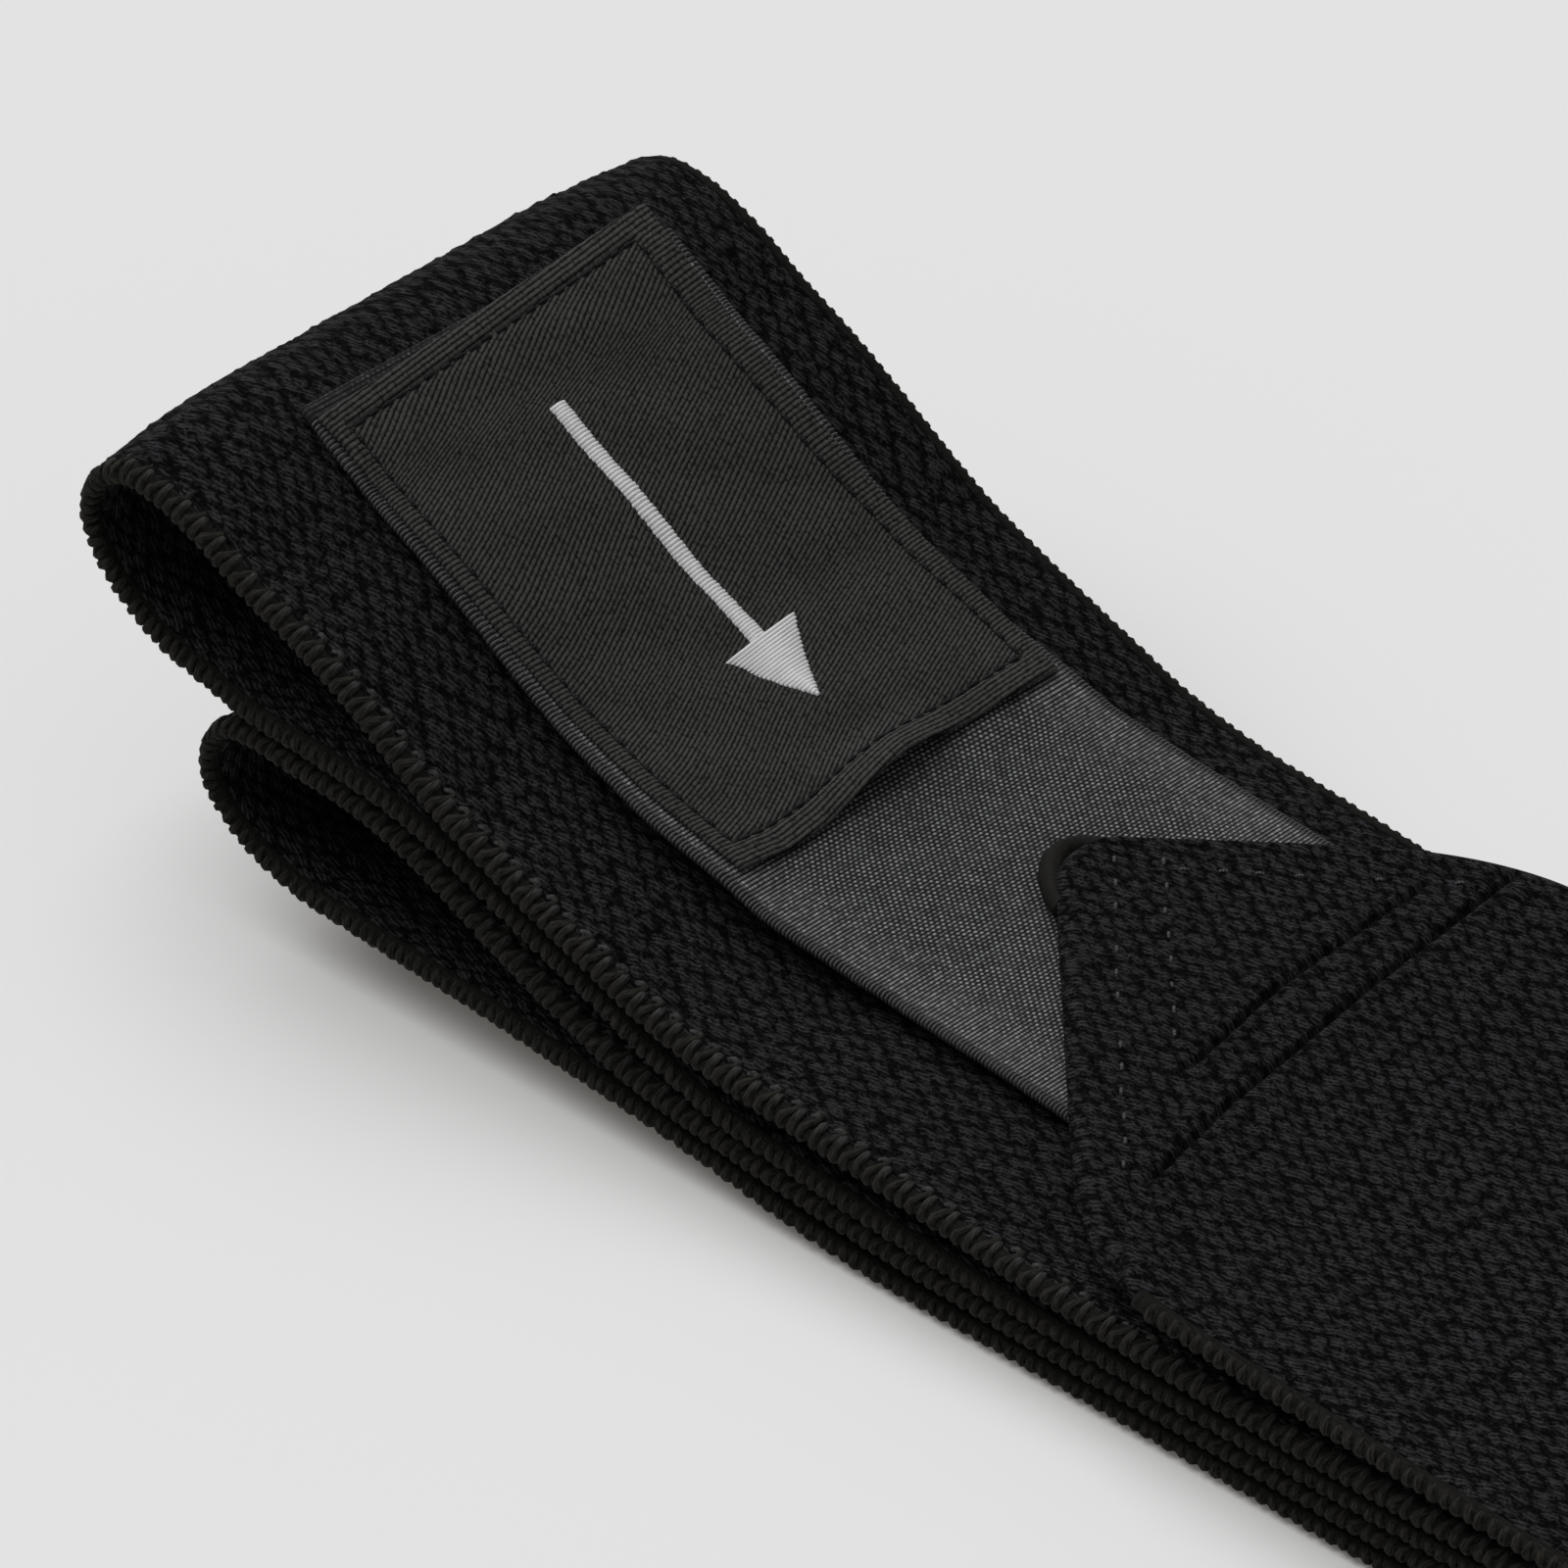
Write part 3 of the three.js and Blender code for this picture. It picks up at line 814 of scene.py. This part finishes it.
def wrap_band(finish):
    """Knit band in five layers, swept through rings with rounded sides."""
    lengths, faces = band_rows()
    place = Places(lengths)
    rng = np.random.default_rng(17)
    tip = place.leans & (place.x < 232)
    front, back = tip_sides(place.x)
    front = np.where(tip, front, -KNIT_SIDE)
    back = np.where(tip, back, KNIT_SIDE)
    flap = FLAP_THICKNESS * (1 - ramp(place.x, FLAP_EDGE - 2, FLAP_EDGE + 1)) * tip
    nose = np.where(tip, np.clip((place.x - TIP_X) / 2.4, 0.004, 1), 1)
    full = np.sqrt(1 - (1 - nose) ** 2)
    middle, half = flap / 2, (HALF_KNIT + flap / 2) * full
    round_side = np.minimum(np.where(flap > 0, 2.4, 1.1), (back - front) * 0.45)
    turns = np.radians([72, 45, 18, -18, -45, -72])
    count = FACE_POINTS
    shares = np.linspace(0, 1, count)
    inner_front, inner_back = front + round_side, back - round_side
    face_y = inner_front[:, None] + (inner_back - inner_front)[:, None] * shares
    back_y = inner_back[:, None] + round_side[:, None] * np.cos(turns)
    front_y = inner_front[:, None] - round_side[:, None] * np.cos(turns)
    x, s = place.x[:, None], place.s[:, None]
    dip = np.where(tip[:, None], seam_dip(x, face_y), 0)
    bumps = relief(s + 0 * face_y, face_y, rng)
    calm = np.clip((place.x - TIP_X) / 3, 0, 1)[:, None]
    upper_out = (middle - half)[:, None] + dip + np.where(faces[:, None] == POINT, bumps * calm, 0)
    lower_out = (middle + half)[:, None] + np.where(faces[:, None] == OUTSIDE, bumps, 0)
    back_out = middle[:, None] - half[:, None] * np.sin(turns)
    front_out = middle[:, None] + half[:, None] * np.sin(turns)
    y = np.concatenate([face_y, back_y, face_y[:, ::-1], front_y], 1)
    out = np.concatenate([upper_out, back_out, lower_out[:, ::-1], front_out], 1)
    rings = place.beside(y, out)
    rings[..., 2] = np.maximum(rings[..., 2], 0)
    arc = (math.pi / 2 - turns) * half[:, None]
    side_y = [face_y, inner_back[:, None] + arc, face_y[:, ::-1], inner_front[:, None] - arc[:, ::-1]]
    flat = np.stack([np.interp(s, LENGTHS, KNIT_LENGTHS) + 0 * y, np.concatenate(side_y, 1)], -1) / 1000
    # painted shade of the seam grooves on the point's upper face, kept as the band's seam attribute
    shade = np.zeros(y.shape)
    shade[:, :count] = np.where(tip[:, None], seam_painted_shade(x, face_y), 0)
    fine, plain, sides = np.arange(count), np.arange(0, count, PLAIN_EVERY), np.arange(len(turns))
    choices = {PLAIN: (plain, plain), OUTSIDE: (plain, fine), POINT: (fine, plain)}
    kept = {
        face: np.concatenate([up, sides + count, low + count + len(turns), sides + 2 * count + len(turns)])
        for face, (up, low) in choices.items()
    }
    solid, dark = skin(rings, flat, shade, [kept[face] for face in faces])
    piece = make_piece("wrap_band", solid, finish)
    # seam attribute: the painted shade of the sewn lines' grooves, by which the knit is darkened
    seam = piece.data.attributes.new("seam", "FLOAT", "POINT")
    seam.data.foreach_set("value", dark.astype(np.float32))
    return piece


def edge_core(side, end):
    """Filled edge under the overlock loops, swept along the selvedge."""
    lengths, _ = band_rows()
    lengths = np.append(lengths[lengths < end], end)
    place = Places(lengths)
    profile = np.array([
        (2.7, 0.80), (1.7, 0.98), (0.95, 0.8), (0.5, 0.3),
        (0.5, -0.3), (0.95, -0.75), (1.6, -0.92), (2.7, -0.80),
    ])
    if side > 0:
        profile[:, 0] -= 0.3
    y = np.tile(side * (EDGE_REACH[side] - profile[:, 0]), (len(lengths), 1))
    out = np.tile(profile[:, 1], (len(lengths), 1))
    rings = place.beside(y, out)
    flat = np.stack([lengths[:, None] + 0 * y, y + out], -1) / 1000
    return loft(rings, flat)


def loop_lengths(end, share):
    """Lengths of one kind of overlock thread, closer together where the band bends."""
    pitch = LOOP_PITCH + 0.35 * ramp(PATH[:, 0], 70, 110)
    phase = running(np.diff(LENGTHS) / pitch[1:])
    count = int(np.interp(end, LENGTHS, phase))
    return np.interp(np.arange(count) + share, phase, LENGTHS)


def overlocked_edge(name, side, start, finish):
    """Overlock along one selvedge, from the free end to the folded corner."""
    rng = np.random.default_rng(EDGE_SEED[side])
    end = stretch_length("top", start)
    threads = []
    for route, share in ((HOOK_ROUTE, 0.3), (STRAND_ROUTE, 0.8)):
        base = thread_along(route, OVERLOCK_FLATNESS)
        lengths = loop_lengths(end, share)
        count = len(lengths)
        place = Places(lengths + rng.uniform(-0.14, 0.14, count))
        origin = place.beside(np.full(count, side * EDGE_REACH[side]), np.zeros(count))
        slim = 1 - 0.14 * (place.count < NAMES.index("upper loop"))
        room = (1.12 - 0.16 * ramp(place.x, 100, 140)) * slim * EDGE_ROOM[side]
        along, inward, up = place.axes(side)
        along = along * rng.uniform(0.92, 1.12, (count, 1))
        inward = inward * EDGE_LAP[side] * rng.uniform(0.94, 1.05, (count, 1))
        up = up * (room * rng.uniform(0.94, 1.0, count))[:, None]
        shift = np.stack([rng.integers(0, 90, count) * LOOP_SHIFT / 1000, rng.uniform(0.4, 0.5, count)], -1)
        threads.append(copies(base, origin, along, inward, up, shift))
    solid = join([edge_core(side, end), *threads])
    solid.points[:, 2] = np.maximum(solid.points[:, 2], 0.02)
    return make_piece(name, solid, finish)


def edged(low, high, step):
    """Places from low to high, close together at both ends."""
    ends = np.array([0, 0.06, 0.2, 0.45, 0.9])
    count = max(int(round((high - low - 1.8) / step)), 2)
    inner = np.linspace(low + 0.9, high - 0.9, count + 1)[1:-1]
    return np.concatenate([low + ends, inner, high - ends[::-1]])


def rounding(inset, radius):
    share = np.clip(inset / radius, 0.03, 1)
    return np.sqrt(1 - (1 - share) ** 2)


def strip(x, y, low, high, flat):
    """Closed strip over a grid of places on the second layer, between a low and a high face."""
    rings = np.concatenate([on_second(x, y, high), on_second(x, y, low)[:, ::-1]], 1)
    flat = np.concatenate([flat, flat[:, ::-1]], 1) / 1000
    return loft(rings, flat)


def unit(vectors):
    return vectors / np.linalg.norm(vectors, axis=-1, keepdims=True)


def stitch_axes(cloth, x, y, dx, dy, above):
    """Spots above a cloth, and the unit axes there along a direction, across it and up."""
    spot = cloth(x, y, above)
    along = unit(cloth(x + dx * 0.4, y + dy * 0.4, above) - spot)
    beside = cloth(x - dy * 0.4, y + dx * 0.4, above)
    up = unit(np.cross(along, unit(beside - spot)))
    return spot, along, np.cross(up, along), up


def stitch_row(start, end, share, jitter):
    """Places at shares of a straight row, moved by jitter, and the row's direction: four columns."""
    step = np.subtract(end, start)
    at = start + share[:, None] * step + jitter
    return np.hstack([at, np.tile(step / np.linalg.norm(step), (len(share), 1))])


def sewn(base, cloth, rows, above, rng):
    """Copies of a small stitch along rows of places and directions on a cloth."""
    axes = stitch_axes(cloth, *rows.T, above)
    return copies(base, *axes, rng.uniform(0, 0.5, (len(rows), 2)))


def stitch(length, radius):
    """One short stitch, sunk at both ends."""
    half = length / 2
    inner = half * 0.62
    rows = [(-half, -0.22, 0.4), (-inner, 0.02, 0.9), (0, 0.1, 1.0), (inner, 0.02, 0.9), (half, -0.22, 0.4)]
    return thread_along([(t, 0, n, radius * share) for t, n, share in rows], 0.8)


def tab_height(x):
    return look(TAB_RISE, x) + TAB_THICKNESS / 2


def hook_tab(finish):
    """Woven tape with a ladder of rungs along both selvedges."""
    half = TAB_THICKNESS / 2
    x, v = np.meshgrid(edged(*TAB_ENDS, 1.2), edged(-TAB_HALF, TAB_HALF, 1.7), indexing="ij")
    y = look(TAB_MIDDLE, x) + v
    inset = np.minimum(np.minimum(x - TAB_ENDS[0], TAB_ENDS[1] - x), TAB_HALF - np.abs(v))
    thick = half * rounding(inset, half)
    tape = strip(x, y, tab_height(x) - thick, tab_height(x) + thick, np.stack([x, v], -1))
    rung = thread_along([
        (0, 1.4, 0.54, 0.05), (0, 1.0, 0.58, 0.09), (0, 0.4, 0.56, 0.10),
        (0, 0.04, 0.30, 0.10), (0, 0.1, -0.1, 0.08),
    ], 1.0)
    rng = np.random.default_rng(3)
    ladders = []
    for side in (-1, 1):
        at = np.arange(TAB_ENDS[0] + 2.0, TAB_ENDS[1] - 0.6, TAPE_RIB)
        along, inward, up = Places(stretch_length("second", at)).axes(side)
        origin = on_second(at, look(TAB_MIDDLE, at) + side * TAB_HALF, tab_height(at))
        inward = inward * rng.uniform(0.85, 1.1, (len(at), 1))
        ladders.append(copies(rung, origin, along, inward, up, rng.uniform(0, 0.1, (len(at), 2)) + (0, 0.4)))
    return make_piece("hook_tab", join([tape, *ladders]), finish)


def label_lift(u, v):
    """Soft waves of the label, and the ripple of its near end, which stands off the tape."""
    share = (v + LABEL_HALF) / (2 * LABEL_HALF)
    ripple = look(LABEL_RIPPLE, share) * ramp(u, LABEL_LENGTH - 6.5, LABEL_LENGTH + 0.5)
    waves = 0.16 * (1 + np.sin(0.55 * u - 0.3 * v + 1.2 * np.sin(0.17 * v + 0.1 * u)))
    return ripple + waves * ramp(label_inset(u, v), 2, 7)


def back_hem(u):
    """Width of the back hem along the label."""
    return HEM_BACK[0] + (HEM_BACK[1] - HEM_BACK[0]) * u / LABEL_LENGTH


def label_inset(u, v):
    return np.minimum(np.minimum(u, LABEL_LENGTH - u), LABEL_HALF - np.abs(v))


def hem_depth(u, v):
    """How far a place on the label lies inside its stitch line, below zero on the hems."""
    ends = np.minimum(u - HEM_FAR, LABEL_LENGTH - HEM_NEAR - u)
    return np.minimum(ends, np.minimum(v + LABEL_HALF - HEM_FRONT, LABEL_HALF - back_hem(u) - v))


def label_thickness(u, v):
    """Thickness of the label: more at the puckered hems, and drawn in along the stitch line."""
    depth = hem_depth(u, v)
    hem = 1 - ramp(depth, -0.7, 0)
    pucker = 0.10 * np.sin(u * 2.9 + 1) * np.cos(v * 2.7)
    return 0.46 + hem * (0.2 + pucker) - 0.2 * np.exp(-(depth / 0.4) ** 2)


def label_place(u, v):
    share = (v + LABEL_HALF) / (2 * LABEL_HALF)
    far = LABEL_FAR[0] + (LABEL_FAR[1] - LABEL_FAR[0]) * share
    near = look(LABEL_NEAR, share)
    x = far + (near - far) * u / LABEL_LENGTH
    front, back = look(LABEL_FRONT, x), look(LABEL_BACK, x)
    return x, front + (back - front) * share


def label_floor(u, v):
    x, _ = label_place(u, v)
    return look(TAB_RISE, x) + TAB_THICKNESS + LABEL_GAP + label_lift(u, v)


def on_label(u, v, above):
    x, y = label_place(u, v)
    return on_second(x, y, label_floor(u, v) + label_thickness(u, v) + above)


def hemmed(low, high, step):
    """Places from low to high, close together at both edges and evenly over the hems and the middle."""
    ends = np.array([0, 0.06, 0.2, 0.42])
    hems = np.arange(0.7, 5.3, 0.24)
    inner = np.linspace(low + 5.4, high - 5.4, int((high - low - 10.8) / step) + 1)
    start = np.concatenate([ends, hems])
    return np.concatenate([low + start, inner, high - start[::-1]])


def satin_mark():
    """Plain arrow in satin stitch along the label: close threads across its shaft and head."""
    rng = np.random.default_rng(41)
    u = np.arange(*MARK_ENDS, 0.4)
    head = (MARK_ENDS[1] - u) * 0.62
    half = np.where(u < MARK_HEAD, 1.0, head) + rng.uniform(-0.06, 0.06, len(u))
    v = rng.uniform(-0.05, 0.05, len(u)) - 0.6
    spot, along, across, up = stitch_axes(on_label, u, v, 0, 1, 0.0)
    rows = [
        (-0.5, -0.3, 0.16), (-0.44, 0.05, 0.25), (0.0, 0.22, 0.27), (0.44, 0.05, 0.25), (0.5, -0.3, 0.16),
    ]
    base = thread_along([(t, 0, n, radius) for t, n, radius in rows], 1.0)
    base.points[:, 0] = np.clip(base.points[:, 0], -0.5, 0.5)
    shift = rng.uniform(0, 0.05, (len(u), 2)) + (0, 0.4)
    return copies(base, spot, along * (2 * half)[:, None], across, up, shift)


def label(finish):
    """Sewn label with folded hems."""
    u, v = np.meshgrid(hemmed(0, LABEL_LENGTH, 0.8), hemmed(-LABEL_HALF, LABEL_HALF, 0.8), indexing="ij")
    x, y = label_place(u, v)
    round_edge = rounding(label_inset(u, v), 0.45)
    thick = label_thickness(u, v)
    low = label_floor(u, v) + 0.4 * thick * (1 - round_edge)
    high = low + thick * (0.1 + 0.9 * round_edge)
    solid = strip(x, y, low, high, np.stack([u, v], -1))
    return make_piece("label", join([solid, satin_mark()]), finish)


def label_stitches(finish):
    """Row of stitches along the label's four hems."""
    rng = np.random.default_rng(21)
    far, near = HEM_FAR, LABEL_LENGTH - HEM_NEAR
    front = HEM_FRONT - LABEL_HALF
    corners = [
        (far, front), (near, front), (near, LABEL_HALF - back_hem(near)), (far, LABEL_HALF - back_hem(far)),
    ]
    rows = []
    for start, end in zip(corners, corners[1:] + corners[:1]):
        count = int(round(math.dist(start, end) / HEM_STITCH_PITCH))
        share = (np.arange(count) + 0.5 + rng.uniform(-0.08, 0.08, count)) / count
        rows.append(stitch_row(start, end, share, rng.uniform(-0.08, 0.08, (count, 2))))
    stitches = sewn(stitch(1.6, 0.26), on_label, np.vstack(rows), 0.06, rng)
    return make_piece("label_stitches", stitches, finish)


def point_stitches(finish):
    """Rows of pale stitches along the slanted edges of the pointed end, some of them hidden in the knit."""
    rng = np.random.default_rng(33)
    rows = []
    for start, end in POINT_ROWS:
        count = int(math.dist(start, end) / POINT_STITCH_PITCH)
        share = (np.arange(count) + 0.5) / count
        rows.append(stitch_row(start, end, share, rng.uniform(-0.2, 0.2, (count, 2))))
    rows = np.vstack(rows)
    rows = rows[rng.uniform(0, 1, len(rows)) < 0.75]
    sunk = rng.uniform(-0.04, 0.12, len(rows))
    return make_piece("point_stitches", sewn(stitch(1.1, 0.2), on_top, rows, sunk, rng), finish)


def point_roll(finish):
    """Thread-bound roll of cloth that shows under the point, with fine ribs."""
    steps = travelled(POINT_ROLL)
    at = np.arange(0, steps[-1], 0.15)
    x, y = (np.interp(at, steps, POINT_ROLL[:, k]) for k in (0, 1))
    ahead = np.stack([np.gradient(x), np.gradient(y), 0 * x], -1)
    kernel = np.ones(9) / 9
    ahead = np.stack([np.convolve(np.pad(ahead[:, k], 4, "edge"), kernel, "valid") for k in range(3)], -1)
    side = unit(np.cross(ahead, (0, 0, 1)))
    turns = np.radians(np.arange(0, 360, 30))
    ribs = 0.09 * np.array([0, 0.8, 1, 0.8])[np.arange(len(at)) % 4]
    radius = ROLL_RADIUS + ribs - 0.6 * (1 - np.sin(math.pi * at / steps[-1]))
    centre = np.stack([x, y, np.full(len(at), ROLL_HEIGHT)], -1)
    rings = (centre[:, None] + radius[:, None, None] * (np.cos(turns)[None, :, None] * side[:, None]
             + 1.1 * np.sin(turns)[None, :, None] * np.array([0, 0, 1])))
    flat = np.stack([at[:, None] * 6 + 0 * turns, np.broadcast_to(turns, (len(at), len(turns)))], -1) / 1000
    return make_piece("point_roll", loft(rings, flat), finish)


# Stage


def make_floor(finish):
    bpy.ops.object.select_all(action="DESELECT")
    bpy.ops.mesh.primitive_plane_add(size=8.0, location=(0, 0, -0.0002))
    floor = bpy.context.object
    floor.name = "floor"
    bpy.ops.object.transform_apply(location=True)
    floor.data.materials.append(finish)


def make_camera():
    turn, rise = math.radians(CAMERA_TURN), math.radians(CAMERA_RISE)
    back = Vector((math.sin(turn) * math.cos(rise), -math.cos(turn) * math.cos(rise), math.sin(rise)))
    data = bpy.data.cameras.new("camera")
    data.sensor_width = 36.0
    data.lens = 36.0 * CAMERA_FOCAL / IMAGE_SIZE
    data.clip_start = 0.01
    data.clip_end = 50
    camera = bpy.data.objects.new("camera", data)
    bpy.context.scene.collection.objects.link(camera)
    camera.location = Vector(placed([CAMERA_AIM])[0]) + back * (CAMERA_DISTANCE / 1000)
    camera.rotation_euler = (-back).to_track_quat("-Z", "Y").to_euler()
    bpy.context.scene.camera = camera


def make_light():
    """Wide soft key light."""
    data = bpy.data.lights.new("key_light", "SUN")
    data.angle = math.radians(KEY_SPREAD)
    data.energy = KEY_POWER
    lamp = bpy.data.objects.new("key_light", data)
    bpy.context.scene.collection.objects.link(lamp)
    lamp.location = KEY_FROM
    lamp.rotation_euler = (-Vector(KEY_FROM)).to_track_quat("-Z", "Y").to_euler()


def make_world():
    world = bpy.data.worlds.new("studio")
    world.use_nodes = True
    sky = world.node_tree.nodes["Background"]
    sky.inputs["Color"].default_value = (1.0, 1.0, 1.0, 1.0)
    sky.inputs["Strength"].default_value = SKY_POWER
    bpy.context.scene.world = world
    bpy.context.scene.view_settings.view_transform = "Standard"


def main():
    make_camera()
    make_world()
    make_light()
    make_floor(floor_finish())
    edge_thread = overlock_finish()
    band = wrap_band(knit_finish())
    front = overlocked_edge("edge_overlock_front", -1, FRONT_EDGE_START, edge_thread)
    back = overlocked_edge("edge_overlock_back", 1, BACK_EDGE_START, edge_thread)
    tab = hook_tab(tape_finish())
    sewn_label = label(twill_finish())
    black = thread_finish("border_thread", colour(0.003, 0.003, 0.003), colour(0.012, 0.012, 0.012))
    border = label_stitches(black)
    grey = thread_finish("point_thread", colour(0.03, 0.03, 0.032), colour(0.11, 0.11, 0.115))
    pale = point_stitches(grey)
    binding = thread_finish("binding_thread", colour(0.006, 0.0055, 0.0042), colour(0.019, 0.0175, 0.014))
    roll = point_roll(binding)
    pieces = [
        (band, "wrap_band", "knit"),
        (front, "edge_overlock_front", "edge_thread"),
        (back, "edge_overlock_back", "edge_thread"),
        (tab, "hook_tab", "tape"),
        (sewn_label, "label", "twill"),
    ]
    for piece, node, slot in pieces:
        piece.name = node + "_cloth"
        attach(piece, "root")
        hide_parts(node)
    for piece, slot in ((border, "twill"), (pale, "tape"), (roll, "edge_thread")):
        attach(piece, "root")


main()
